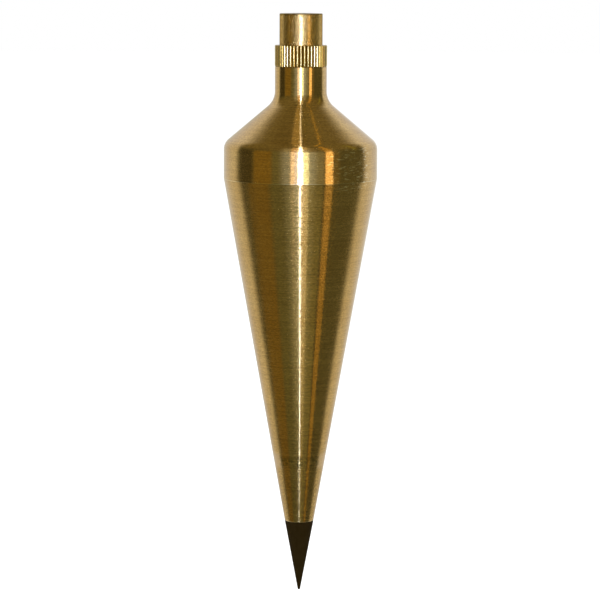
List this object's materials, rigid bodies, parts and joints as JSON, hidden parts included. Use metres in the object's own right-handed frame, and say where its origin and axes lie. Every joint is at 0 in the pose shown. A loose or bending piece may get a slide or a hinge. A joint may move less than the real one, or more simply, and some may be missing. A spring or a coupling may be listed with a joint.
{
  "type": "plumb bob",
  "caption": "Turned brass plumb bob: long tapering body with a cylindrical band and waisted neck, knurled screw cap drilled for the cord, and a slim screw-in steel point.",
  "frame": {"origin": "centre of the blunted tip of the steel point, on the bob's axis", "axes": "+Z along the bob's axis from the tip up to the cord cap; X and Y are equal, because the bob is turned"},
  "size_m": [0.0372, 0.0372, 0.1418],
  "materials": {
    "turned_brass": "lathe-turned satin with fine tool lines",
    "blackened_steel": "hardened and oil-blackened, ground to a slim cone"
  },
  "bodies": {
    "body": {"bob_body": "turned_brass"},
    "cap": {"screw_cap": "turned_brass"},
    "point": {"steel_point": "blackened_steel"}
  },
  "joints": [
    {"name": "cap_unscrew", "type": "slide", "parent": "body", "child": "cap", "axis": [0, 0, 1], "range_m": [0, 0.0095]},
    {"name": "point_unscrew", "type": "slide", "parent": "body", "child": "point", "axis": [0, 0, -1], "range_m": [0, 0.008]}
  ]
}
